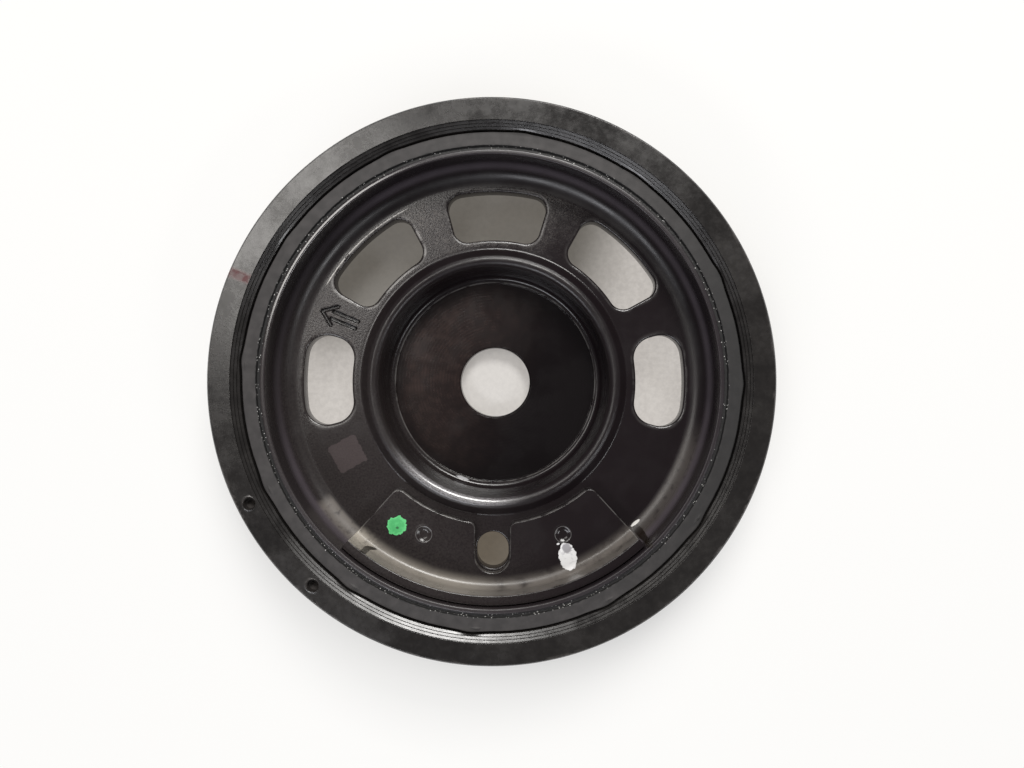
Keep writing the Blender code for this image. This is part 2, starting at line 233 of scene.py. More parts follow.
def turned(profile, angles):
    """A profile of (radius, height) carried around the axis: one row for each profile point."""
    flat = polar(profile[:, :1], angles[None, :])
    height = np.broadcast_to(profile[:, 1:], flat.shape[:2])
    return np.concatenate([flat, height[..., None]], -1)


def sector(radii, angles, height):
    """A flat sector: one row for each radius, at one height."""
    return turned(np.stack([radii, np.full(len(radii), float(height))], 1), angles)


def cell_edge(radii, angles):
    """The edge of a sector cell, anticlockwise: inner arc, far side, outer arc, near side."""
    first, last, low, high = angles[0], angles[-1], radii[0], radii[-1]
    return np.concatenate([
        polar(low, angles[:-1]),
        polar(radii[:-1], last),
        polar(high, angles[:0:-1]),
        polar(radii[:0:-1], first),
    ])


def evenly(outline, count):
    """A closed outline set out again with points evenly spaced along its length."""
    closed = np.concatenate([outline, outline[:1]])
    along = np.concatenate([[0], np.cumsum(np.linalg.norm(np.diff(closed, axis=0), axis=1))])
    wanted = np.linspace(0, along[-1], count, endpoint=False)
    return np.stack([np.interp(wanted, along, closed[:, i]) for i in (0, 1)], 1)


def facing(outline, centre, targets):
    """Where rays from a centre to the targets cross an outline, and its outward direction there.

    Outline and targets are put in angles around the centre, and the outline's distance and
    direction are read off at each target's angle.
    """
    dense = evenly(outline, 900)
    ahead = np.roll(dense, -1, 0) - np.roll(dense, 1, 0)
    outward = np.stack([ahead[:, 1], -ahead[:, 0]], 1)
    outward /= np.linalg.norm(outward, axis=1)[:, None]
    from_centre = dense - centre
    around = np.arctan2(from_centre[:, 1], from_centre[:, 0])
    reach = np.linalg.norm(from_centre, axis=1)
    wanted = np.arctan2(*(targets - centre).T[::-1])
    order = np.argsort(around)
    read = [
        np.interp(wanted, around[order], values[order], period=math.tau)
        for values in (reach, outward[:, 0], outward[:, 1])
    ]
    crossing = centre + read[0][:, None] * np.stack([np.cos(wanted), np.sin(wanted)], 1)
    return crossing, np.stack(read[1:], 1)


def holed_cell(radii, angles, outline, centre, rows):
    """A cell with a hole: its edge blends into the hole's outline row by row.

    Each row is (share, offset, scale, height): the share of the way from the cell's edge to
    the outline, the outline's offset outwards, its scale about the centre, and the height.
    """
    edge = cell_edge(radii, angles)
    crossing, outward = facing(outline, centre, edge)
    share, offset, scale, height = (np.array(column, float)[:, None, None] for column in zip(*rows))
    hole = centre + (crossing + outward * offset - centre) * scale
    flat = edge * (1 - share) + hole * share
    return np.concatenate([flat, np.broadcast_to(height, flat.shape[:2] + (1,))], -1)


def rolled_edge(width, drop, height, count):
    """Rows of a punched edge: a quarter ellipse from the flat face down into the hole."""
    turn = np.linspace(0, QUARTER, count)
    return [(1, width * (1 - math.sin(t)), 1, height - drop * (1 - math.cos(t))) for t in turn]


def hole_rows(roll, drop):
    """Rows through the web: front face, rolled edge, wall, broken rear edge, rear face."""
    rows = [(s, roll, 1, WEB_Z) for s in (0, 0.3, 0.55, 0.75, 0.9)]
    rows += rolled_edge(roll, drop, WEB_Z, 7)
    rows += [(1, 0.02, 1, (WEB_Z + WEB_REAR_Z) / 2), (1, 0.05, 1, WEB_REAR_Z + 0.25)]
    rows += [(1, 0.1, 1, WEB_REAR_Z + 0.05), (1, 0.22, 1, WEB_REAR_Z)]
    return rows + [(s, 0.22, 1, WEB_REAR_Z) for s in (0.8, 0.5, 0.25, 0)]


class Shell:
    """Grids of points gathered into one mesh, with an edge value that the finish reads."""

    def __init__(self):
        self.points, self.worn, self.faces, self.count = [], [], [], 0

    def add(self, grid, worn=0.0, around=False, closed=False):
        """Adds a grid of rows and columns; around joins the columns, closed joins the rows."""
        rows, columns = grid.shape[:2]
        number = self.count + np.arange(rows * columns).reshape(rows, columns)
        if around:
            number = np.concatenate([number, number[:, :1]], 1)
        if closed:
            number = np.concatenate([number, number[:1]], 0)
        quads = np.stack([number[:-1, :-1], number[:-1, 1:], number[1:, 1:], number[1:, :-1]], -1)
        self.faces.append(quads.reshape(-1, 4))
        self.points.append(grid.reshape(-1, 3))
        self.worn.append(np.broadcast_to(np.asarray(worn, float), (rows, columns)).reshape(-1))
        self.count += rows * columns

    def finish(self, name, material, node, slot):
        """Puts the grids into a mesh, merges their shared edges and turns the faces outwards."""
        points = np.concatenate(self.points) * MM
        faces = np.concatenate(self.faces)
        mesh = bpy.data.meshes.new(name)
        mesh.vertices.add(len(points))
        mesh.vertices.foreach_set("co", points.astype(np.float32).ravel())
        mesh.loops.add(faces.size)
        mesh.loops.foreach_set("vertex_index", faces.astype(np.int32).ravel())
        mesh.polygons.add(len(faces))
        mesh.polygons.foreach_set("loop_start", np.arange(0, faces.size, 4, dtype=np.int32))
        mesh.update(calc_edges=True)
        worn = mesh.attributes.new("worn", "FLOAT", "POINT")
        worn.data.foreach_set("value", np.concatenate(self.worn).astype(np.float32))
        builder = bmesh.new()
        builder.from_mesh(mesh)
        bmesh.ops.remove_doubles(builder, verts=builder.verts, dist=MERGE_DISTANCE)
        bmesh.ops.recalc_face_normals(builder, faces=builder.faces)
        builder.to_mesh(mesh)
        open_edges = sum(not edge.is_manifold for edge in builder.edges)
        builder.free()
        if open_edges:
            raise RuntimeError(f"{name} has {open_edges} open edges")
        mesh.shade_smooth()
        mesh.set_sharp_from_angle(angle=math.radians(SHARP_EDGE_DEG))
        mesh.materials.append(material)
        piece = bpy.data.objects.new(name, mesh)
        bpy.context.scene.collection.objects.link(piece)
        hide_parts(node)
        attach(piece, BODY)
        return piece


# Shader maths


class Socket:
    """A shader socket that takes arithmetic. Each operation adds one Math node."""

    def __init__(self, graph, link):
        self.graph, self.link = graph, link

    def join(self, operation, *values):
        return self.graph.node("ShaderNodeMath", {"operation": operation}, values)

    def __add__(self, other):
        return self.join("ADD", self, other)

    def __sub__(self, other):
        return self.join("SUBTRACT", self, other)

    def __rsub__(self, other):
        return self.join("SUBTRACT", other, self)

    def __mul__(self, other):
        return self.join("MULTIPLY", self, other)

    def __truediv__(self, other):
        return self.join("DIVIDE", self, other)

    def __pow__(self, other):
        return self.join("POWER", self, other)

    __radd__ = __add__
    __rmul__ = __mul__

    def rise(self, start, end):
        """0 before start and 1 after end, smooth between them."""
        return self.graph.node(
            "ShaderNodeMapRange", {"interpolation_type": "SMOOTHSTEP"}, (self, start, end)
        )

    def band(self, low, high, soft):
        """1 between low and high, falling to 0 over the soft width on both sides."""
        return self.rise(low - soft, low) * (1 - self.rise(high, high + soft))

    def sine(self):
        return self.join("SINE", self)

    def size(self):
        return self.join("ABSOLUTE", self)

    def most(self, other):
        return self.join("MAXIMUM", self, other)


class Graph:
    """The node tree of one material, in millimetres of Object coordinates."""

    def __init__(self, name):
        self.material = bpy.data.materials.new(name)
        self.material.use_nodes = True
        self.tree = self.material.node_tree
        self.shader = self.tree.nodes["Principled BSDF"]
        place = self.node("ShaderNodeTexCoord", {}, {}, "Object")
        self.place = self.node(
            "ShaderNodeVectorMath", {"operation": "SCALE"}, {0: place, "Scale": 1 / MM}
        )
        self.x = self.node("ShaderNodeSeparateXYZ", {}, (self.place,), "X")
        self.y = Socket(self, self.x.link.node.outputs["Y"])
        self.z = Socket(self, self.x.link.node.outputs["Z"])
        self.radius = (self.x * self.x + self.y * self.y) ** 0.5
        self.turn = self.node("ShaderNodeMath", {"operation": "ARCTAN2"}, (self.y, self.x))

    def node(self, kind, settings, values, output=0):
        """Adds a node: its settings first, then the values or links of its sockets."""
        made = self.tree.nodes.new(kind)
        for name, value in settings.items():
            setattr(made, name, value)
        pairs = values.items() if isinstance(values, dict) else enumerate(values)
        for place, value in pairs:
            if isinstance(value, Socket):
                self.tree.links.new(value.link, made.inputs[place])
            else:
                made.inputs[place].default_value = value
        return Socket(self, made.outputs[output])

    def mix(self, share, first, second):
        """Blends two colours: the first where the share is 0, the second where it is 1."""
        first, second = (c if isinstance(c, Socket) else (*c, 1.0) for c in (first, second))
        return self.node("ShaderNodeMix", {"data_type": "RGBA"}, {0: share, 6: first, 7: second}, 2)

    def noise(self, scale, detail=3.0, rough=0.55, vector=None):
        """Smooth noise from 0 to 1. The scale is features per millimetre."""
        return self.node(
            "ShaderNodeTexNoise",
            {},
            {"Vector": vector or self.place, "Scale": scale, "Detail": detail, "Roughness": rough},
        )

    def specks(self, scale):
        """Distance to the middle of the nearest cell, for beads."""
        values = {"Vector": self.place, "Scale": scale}
        return self.node("ShaderNodeTexVoronoi", {}, values, "Distance")

    def worn(self):
        """The edge value that the mesh carries."""
        return self.node("ShaderNodeAttribute", {"attribute_name": "worn"}, {}, "Fac")

    def blot(self, x, y, half_x, half_y, lean, ragged, scale, power=2.0):
        """Reach of a patch: 1 on its outline, which noise moves; a high power squares it off."""
        cos, sin = math.cos(math.radians(lean)), math.sin(math.radians(lean))
        across = (((self.x - x) * cos + (self.y - y) * sin) / half_x).size()
        up = (((self.y - y) * cos - (self.x - x) * sin) / half_y).size()
        reach = (across**power + up**power) ** (1 / power)
        return reach + (self.noise(scale, 3.0) - 0.5) * ragged

    def seen(self):
        """1 where the camera or a mirror looks, 0 where the surface only lights others."""
        camera = self.node("ShaderNodeLightPath", {}, {}, "Is Camera Ray")
        return camera.most(Socket(self, camera.link.node.outputs["Is Glossy Ray"]))

    def bump(self, height, depth):
        """A bump whose height of 1 stands for a depth in millimetres."""
        values = {"Strength": 1.0, "Distance": depth * MM, "Height": height}
        return self.node("ShaderNodeBump", {}, values)

    def finish(self, **inputs):
        """Sets the shader's sockets: links what varies, writes what doesn't."""
        for name, value in inputs.items():
            socket = self.shader.inputs[name.replace("_", " ")]
            if isinstance(value, Socket):
                self.tree.links.new(value.link, socket)
            else:
                socket.default_value = value
        return self.material


# Finishes

# Linear colours of what lies on the pieces and of where they are rubbed, and of the highlights, glints,
# sheen and light painted on them
DUST_AND_SHEEN = (0.145, 0.130, 0.117)
RUBBED_IRON = (0.12, 0.11, 0.105)
RUBBED_COAT_AND_HIGHLIGHT = (0.26, 0.25, 0.24)
RED_STREAK = (0.085, 0.016, 0.018)
CREAM_DUST_AND_HIGHLIGHT = (0.42, 0.385, 0.33)
OIL = (0.005, 0.005, 0.005)
PAINTED_BEAD_GLINT = (0.62, 0.61, 0.59)
WALL_FILM_AND_LIGHT = (0.085, 0.072, 0.083)
CUP_BLACK = (0.0035, 0.0025, 0.0028)
CUP_BROWN = (0.058, 0.036, 0.031)
OLD_GLUE = (0.100, 0.078, 0.078)
PAINTED_CREST_HIGHLIGHT = (0.38, 0.37, 0.38)


def ring_finish(colour):
    """Blackened iron: cloudy dust on the flat face, turned lines, and edges rubbed bare."""
    g = Graph("ring_iron")
    cloud = g.noise(0.09, 4.0).rise(0.35, 0.68) * 0.6 + g.noise(0.5, 5.0, 0.7).rise(0.35, 0.7) * 0.4
    grain = g.noise(1.6, 2.0)
    around = g.node("ShaderNodeCombineXYZ", {}, (g.radius * 5.0, g.turn * 3.0, g.z))
    lines = g.noise(1.0, 2.0, vector=around)
    rub = g.worn() * g.noise(0.2, 5.0).rise(0.45, 0.65)
    tint = g.mix(cloud * 0.6, tuple(colour), (0.026, 0.023, 0.021))
    tint = g.mix(rub * 0.4, tint, RUBBED_IRON)
    streak = (g.turn - math.radians(157.2)).size()
    streak = (1 - streak.rise(0.008, 0.026)) * g.radius.band(64.6, 69.8, 0.2) * g.z.rise(27.0, 27.5)
    streak = streak * (0.55 + g.noise(0.6).rise(0.4, 0.6) * 0.35)
    tint = g.mix(streak, tint, RED_STREAK)
    hole = (1 - g.z.rise(FACE_Z - 0.5, FACE_Z - 0.3)) * g.radius.band(65.0, 68.4, 0.1)
    tint = g.mix(hole * 0.9, tint, (0.009, 0.005, 0.003))
    rough = (0.145 + cloud * 0.17 + grain * 0.06).most(hole * 0.8).most(streak * 0.55)
    shape = g.bump(grain * 0.6 + lines * 0.4, 0.012)
    return g.finish(Base_Color=tint, Roughness=rough, Specular_IOR_Level=0.65, Normal=shape)


def rubber_finish(colour):
    """Dry rubber: mottled and slightly dusty, black and wet with oil beside the hub's lip, darker
    towards +X, with pale beads by the lip that are painted glints.
    """
    g = Graph("band_rubber")
    mottle = g.noise(0.35, 4.0)
    oil = 1 - (g.radius + (g.noise(0.8, 3.0) - 0.5) * 0.9).rise(58.75, 59.05)
    dark, light = (tuple(c * share for c in colour) for share in (0.8, 1.35))
    tint = g.mix(mottle.rise(0.3, 0.75), dark, light)
    # Near-black where oil lies by the lip, and darker towards +X
    tint = g.mix((oil * 0.9).most((g.x / 70).rise(0.3, 1.1) * 0.9), tint, OIL)
    # Oil beads by the lip, drawn pale: painted glints on them
    beads = (1 - g.specks(1.35).rise(0.14, 0.24)) * oil * g.noise(0.2, 2.0).rise(0.38, 0.5)
    tint = g.mix(beads * 0.85, tint, PAINTED_BEAD_GLINT)
    rough = 0.62 - beads * 0.3
    shape = g.bump(g.noise(2.5, 3.0) * 0.4 + beads * 2.0, 0.03)
    return g.finish(Base_Color=tint, Roughness=rough, Normal=shape)


def coat_finish(g, colour, dusty):
    """The shared look of the dip coat: soft ripples, oil film, rubbed edges that also paint edge
    highlights, and dust and painted sheen where given.

    An edge value below 0 marks the stamped arrow, which is darkened, most on its sloping sides, as
    painted shade.
    """
    peel = g.noise(1.5, 3.0, 0.6) + g.noise(4.5, 1.0) * 0.8
    film = g.noise(0.07, 4.0, 0.6).rise(0.42, 0.62)
    edge = g.worn()
    rub = edge * g.noise(0.3, 4.0).rise(0.35, 0.6)
    haze = ((g.x * -1.0 - g.y * 0.6) / 48).rise(0.0, 1.0)
    haze = haze * g.noise(2.0, 3.0, 0.7).rise(0.1, 0.9) * 0.2
    # Dust tint, which on the hub also paints sheen and the fillet's highlights
    tint = g.mix(dusty.most(haze), tuple(colour), DUST_AND_SHEEN)
    # Painted shade in the stamped arrow
    tint = g.mix(edge * -1.0, tint, (0.003, 0.003, 0.003))
    # Rubbed edges lighten, which at some window and plate edges also paints their highlight
    tint = g.mix(rub * 0.6, tint, RUBBED_COAT_AND_HIGHLIGHT)
    rough = 0.19 + film * 0.08 + dusty * 0.12
    return tint, rough, peel


def hub_finish(colour):
    """Dip coat on the drawn hub, with a brown, turned cup floor and its single marks, several of which
    are painted highlights, glints, sheen and shade.
    """
    g = Graph("hub_coat")
    fillet = g.radius.band(52.8, 55.5, 1.2) * g.z.band(13.8, 19.0, 2.0)
    # Sandy dust on the web, lighter towards the upper left and in a patch there: dust that also paints
    # the sheen of that lit side
    sand = g.radius.band(36.2, 50.9, 1.0) * g.z.band(13.0, 14.0, 0.5)
    sand = sand * ((g.y * 0.8 - g.x * 0.6) / 45).rise(0.1, 0.9)
    grit = g.noise(2.4, 4.0, 0.7)
    # Dust tint on the fillet at two ranges of angle, which paints the highlights there
    fillet_highlights = g.turn.band(-2.50, -2.30, 0.07) + g.turn.band(-0.80, -0.40, 0.25) * 0.35
    sheen_patch = (1 - g.blot(-20.5, 42.5, 5.5, 6.5, -30.0, 0.8, 0.3).rise(0.6, 1.1)) * 0.35
    sand_dust_and_sheen = sand * grit.rise(0.42, 0.68) * (0.2 + g.noise(0.14, 2.0).rise(0.4, 0.62) * 0.3 + sheen_patch)
    dusty = fillet * fillet_highlights * g.noise(0.5, 4.0).rise(0.15, 0.5) + sand_dust_and_sheen
    tint, rough, peel = coat_finish(g, colour, dusty)
    # Dull film on the hub's inner wall, strongest low down and weaker on the left: partly dirt, partly
    # painted light on the wall
    wall = g.radius.rise(54.6, 56.2) * g.z.rise(14.5, 16.5) * (1.2 - g.z.rise(17.0, 20.5))
    left = ((g.y * 0.3 - g.x) / 56).rise(0.75, 1.0)
    tint = g.mix(wall * (0.45 + g.noise(0.12, 3.0) * 0.5) * (1 - left * 0.5), tint, WALL_FILM_AND_LIGHT)
    floor = 1 - g.radius.rise(SEAT_RIM, SEAT_RIM + 0.3)
    floor = floor * (1 - g.z.rise(5.2, 6.0))
    rings = (g.radius * 7.5 + g.noise(0.3) * 2.0).sine() * 0.5 + 0.5
    rust = g.noise(0.25, 4.0).rise(0.35, 0.7)
    tint = g.mix(floor * 0.85, tint, CUP_BLACK)
    # The brown lies towards the upper left and fades near the rim there; that fade is painted shade
    upper = ((g.y * 0.4 - g.x) / 30).rise(-0.45, 0.8) * (1 - g.radius.rise(23.0, 26.6) * 0.65)
    brown = upper * (0.22 + rust * 0.16 + rings * g.noise(0.5).rise(0.4, 0.7) * 0.2)
    tint = g.mix(floor * brown, tint, CUP_BROWN)
    # Pale blot low on the cup wall at the lower left: a painted glint
    wet = (1 - g.blot(-8.9, -26.2, 2.0, 0.4, -19.0, 0.4, 1.2).rise(0.7, 1.1)) * (1 - g.z.rise(8.0, 9.0))
    tint = g.mix(wet, tint, (0.50, 0.50, 0.52))
    # Pale speckled band on the bump's crest at the lower left: a painted highlight; the same band is
    # also glossier and clear coated
    crest_highlight = g.radius.band(30.5, 31.9, 0.6) * g.z.rise(14.5, 15.3) * g.turn.band(-2.15, -1.7, 0.45)
    tint = g.mix(crest_highlight * g.noise(3.5, 3.0, 0.7).rise(0.33, 0.6) * 0.75, tint, PAINTED_CREST_HIGHLIGHT)
    # Pale broken line just outside the upper left window's outer edge: a painted highlight
    streak = g.radius.band(WINDOW_OUTER + 0.75, WINDOW_OUTER + 0.92, 0.10)
    streak = streak * g.z.rise(13.0, 13.4) * g.turn.band(2.07, 2.58, 0.05)
    tint = g.mix(streak * g.noise(0.9, 3.0).rise(0.36, 0.5), tint, (0.62, 0.60, 0.56))
    # Near-black blot on the fillet beyond the balance plate's right end: a painted shadow
    plate_end_shadow = (1 - g.blot(38.2, -39.3, 2.5, 1.1, -52.0, 0.3, 1.0).rise(0.9, 1.05)) * 0.95
    tint = g.mix(plate_end_shadow, tint, (0.010, 0.006, 0.004))
    # Small pale blot on the fillet by the plate's right end: a painted glint
    fillet_glint = (1 - g.blot(37.2, -37.1, 1.5, 0.42, 40.0, 0.3, 1.5).rise(0.8, 1.1)) * 0.95
    tint = g.mix(fillet_glint, tint, (0.80, 0.79, 0.76))
    crest = g.radius.band(27.8, 34.6, 0.9) * g.z.rise(11.0, 13.0)
    rough = rough - floor * (0.09 - upper * 0.12) + wall * 0.2 + crest * 0.10
    lip = g.z.rise(25.0, 25.3)
    glossy = lip * g.turn.band(2.15, 2.75, 0.35)
    rough = rough + g.radius.band(52.0, 54.6, 0.8) * 0.10 + lip * 0.10 - glossy * 0.20 + crest_highlight * 0.10
    glue = (1 - g.blot(-38.55, -18.9, 4.1, 3.95, 28.5, 0.25, 0.9, 14.0).rise(0.94, 1.0)) * 0.42
    tint = g.mix(glue * (0.6 + grit * 0.8), tint, OLD_GLUE)
    shape = g.bump(peel * (1 + crest * 1.8) + rings * floor * 0.5 + sand * grit * 5.0, 0.010)
    film = (glossy * 0.5).most(crest_highlight * 0.6)
    return g.finish(
        Base_Color=tint,
        Roughness=rough,
        Normal=shape,
        Coat_Weight=film,
        Coat_Roughness=0.2,
        Coat_IOR=2.0,
    )


def plate_finish(colour, green, white):
    """Dip coat on the balance plate, with a dab of green and a dab of white paint, and painted
    highlights on its edges, wall and weld rims.
    """
    g = Graph("plate_coat")
    upright = g.radius.rise(49.6, 53.4) * (1 - g.radius.rise(PLATE_WALL + 0.2, PLATE_WALL + 0.6))
    upright = upright * (1 - g.z.rise(PLATE_TOP - 0.4, PLATE_TOP - 0.1))
    tint, rough, peel = coat_finish(g, colour, upright * g.noise(0.3, 3.0).rise(0.0, 0.6))
    green_at = g.blot(-25.1, -37.3, 2.6, 2.55, 10.0, 0.65, 0.42) + (g.noise(1.1, 1.0) - 0.5) * 0.5
    white_at = g.blot(19.3, -45.4, 2.4, 3.7, 8.0, 0.6, 0.42) + (g.noise(1.4, 1.0) - 0.5) * 0.25
    green_on, white_on = (1 - at.rise(0.94, 1.0) for at in (green_at, white_at))
    patchy = g.noise(0.8, 3.0)
    # Cream film on the left end of the plate's wall, weaker further on: dust that also paints the
    # highlight there
    cream_and_highlight = upright * (1 - g.turn.rise(-2.33, -2.02)) * g.noise(0.4, 4.0).rise(0.25, 0.5)
    cream_and_highlight = cream_and_highlight.most(upright * (1 - g.turn.rise(-1.75, -1.5)) * 0.4)
    tint = g.mix(cream_and_highlight, tint, CREAM_DUST_AND_HIGHLIGHT)
    tick = 1 - g.blot(-31.9, -42.9, 1.9, 0.34, -17.0, 0.3, 1.0).rise(0.85, 1.1)
    tint = g.mix(tick * 0.9, tint, (0.012, 0.009, 0.007))
    pale = tuple(c * 1.3 + 0.03 for c in green)
    paint = g.mix(green_at.rise(0.6, 0.9).most(patchy.rise(0.5, 0.65) * 0.5), tuple(green), pale)
    pit = 1 - g.blot(-25.0, -37.9, 0.42, 0.36, 0.0, 0.4, 1.5).rise(0.6, 1.2)
    paint = g.mix(pit, paint, (0.02, 0.13, 0.04))
    tint = g.mix(green_on, tint, paint)
    thin = (1 - g.blot(19.1, -43.2, 1.3, 1.45, 20.0, 0.9, 1.5).rise(0.7, 1.1)) * 0.85
    worn_white = g.mix(thin.most(patchy.rise(0.5, 0.7) * 0.3), tuple(white), (0.24, 0.23, 0.25))
    tint = g.mix(white_on, tint, worn_white)
    fleck = 1 - g.blot(16.8, -42.1, 0.42, 0.26, 20.0, 0.5, 1.5).rise(0.8, 1.1)
    tint = g.mix(fleck, tint, (0.70, 0.70, 0.70))
    # A lighter ring on each weld spot's rim: a painted highlight
    weld_rim_highlights = [g.blot(*polar(WELD_CIRCLE, angle), 2.15, 2.15, 0.0, 0.05, 0.5) for angle in WELD_ANGLES]
    weld_rim_highlights = [rim.band(0.96, 1.0, 0.03) for rim in weld_rim_highlights]
    tint = g.mix(weld_rim_highlights[0].most(weld_rim_highlights[1]) * (0.25 + patchy * 0.5), tint, (0.20, 0.195, 0.19))
    rough = rough + green_on.most(white_on) * 0.3
    shape = g.bump(peel * 0.6 + green_on.most(white_on) * 4.0, 0.012)
    return g.finish(Base_Color=tint, Roughness=rough, Normal=shape)


# Shapes


def groove_corners(radius, count, pitch):
    """The belt side of the ring: a front rim, ribbed grooves and a rear rim."""
    tip, top = radius - 0.7, FACE_Z - 3.4
    corners = [(radius, top + 0.7, 0.15), (tip, top, 0.1)]
    for i in range(count):
        middle = top - (i + 0.5) * pitch
        half = (pitch - 1.0) / 2
        corners += [
            (tip, middle + half, 0.25),
            (tip - 2.8, middle + 0.25, 0.12),
            (tip - 2.8, middle - 0.25, 0.12),
            (tip, middle - half, 0.25),
        ]
    bottom = top - count * pitch
    return corners + [(tip, bottom, 0.1), (radius, bottom - 0.7, 0.15)]


def ridge_corners():
    """The stepped inner edge of the ring, from its bore up to the flat face."""
    corners = []
    for i in range(RIDGE_COUNT):
        low, high = 26.05 + i * 0.65, 26.35 + i * 0.65
        start = RING_BORE + i * RIDGE_WIDTH
        corners += [(start, low, 0.08), (start + RIDGE_WIDTH, high, 0.08)]
    return corners + [(RING_BORE + RIDGE_COUNT * RIDGE_WIDTH, FACE_Z, 0.12)]


def edge_value(profile, places, reach):
    """1 at the named heights and radii of a profile, fading to 0 over the reach."""
    away = np.min([np.hypot(*(profile - place).T) for place in np.asarray(places, float)], axis=0)
    return 1 - smooth(away, 0.3 * reach, reach)[:, None]


class BeltRing(bpy.types.Operator):
    """Builds the belt ring with its stepped edge, grooves and balance holes"""

    bl_idname = "pulley.belt_ring"
    bl_label = "Belt ring"

    def execute(self, context):
        say = context.scene.pulley_ring
        radius = say.radius / MM
        chamfer = say.edge / MM
        holes = [(206.7, 203.25, 210.0), (228.7, 225.0, 232.5)]
        angles = angles_around(1.2, *((start, end, 0.375) for _, start, end in holes))
        inner, outer = RING_BORE + RIDGE_COUNT * RIDGE_WIDTH + 0.2, radius - chamfer - 0.15
        radii = np.linspace(inner, outer, 11)
        corners = [(outer, FACE_Z, 0)]
        corners += [(radius - chamfer, FACE_Z, 0.12), (radius, FACE_Z - chamfer, 0.12)]
        corners += groove_corners(radius, say.grooves, say.pitch / MM)
        corners += [
            (radius, 1.6, 0.15),
            (radius - 0.6, 1.0, 0.15),
            (RING_BORE + 1, 1.0, 0.15),
            (RING_BORE, 2.0, 0.15),
        ]
        profile = rounded(corners + ridge_corners() + [(inner, FACE_Z, 0)])
        shell = Shell()
        places = [(radius - chamfer, FACE_Z), (radius, FACE_Z - chamfer)]
        grid = turned(profile, angles)
        near_bore = 1 - smooth(profile[:, 0], RING_BORE + 0.1, RING_BORE + 0.5)
        near_bore *= smooth(profile[:, 1], 24.0, 25.2)
        pushed = BULGE * near_bore[:, None] * bulges(angles) / profile[:, :1]
        grid[..., :2] *= 1 + pushed[..., None]
        shell.add(grid, edge_value(profile, places, 0.4), around=True)
        rows = [(s, 0.3, 1, FACE_Z) for s in (0, 0.4, 0.75)]
        rows += [(1, 0.38, 1, FACE_Z), (1, 0.3, 1, FACE_Z + 0.03), (1, 0.2, 1, FACE_Z - 0.04)]
        rows += [(1, 0.0, 1, FACE_Z - 0.26), (1, -0.04, 1, FACE_Z - 0.4), (1, -0.04, 1, FACE_Z - 1.9)]
        rows += [(1, 0, 0.5, FACE_Z - 2.25), (1, 0, 0, FACE_Z - 2.6)]
        worn = np.array([0, 0, 0, 0.4, 1, 1, 0.7, 0, 0, 0, 0])[:, None]
        last = 0.0
        for middle, start, end in holes:
            shell.add(sector(radii, span(angles, last, start), FACE_Z))
            centre = polar(radius - HOLE_INSET, middle)
            outline = centre + polar(HOLE_RADIUS, np.arange(0, 360, 2.0))
            cell = holed_cell(radii, span(angles, start, end), outline, centre, rows)
            shell.add(cell, worn, around=True)
            last = end
        shell.add(sector(radii, span(angles, last, 360.0), FACE_Z))
        shell.finish("belt_ring", ring_finish(say.colour), "pulley_ring", "ring_iron")
        return {"FINISHED"}


def bulges(angles, shift=0.0, reach=2.6):
    """Swellings about every thirty degrees: bell curves of the angle, half as high at the top."""
    middles = np.array([25, 55, 83, 114, 145, 175, 205, 235, 265, 297, 325, 359.5]) + shift
    away = np.abs((angles[:, None] - middles + 180) % 360 - 180)
    share = np.where(np.abs(middles - 100) < 60, 0.5, 1.0)
    return (share * np.exp(-((away / reach) ** 2))).sum(1)


def ripple(angles, waves, seed):
    """A sum of sines of the angle whose sizes and phases come from a seeded draw."""
    draw = np.random.default_rng(seed)
    phase = draw.uniform(0, math.tau, len(waves))
    size = draw.uniform(0.5, 1.0, len(waves))
    parts = size * np.sin(np.radians(angles)[:, None] * np.array(waves) + phase)
    return parts.sum(1) / size.sum()


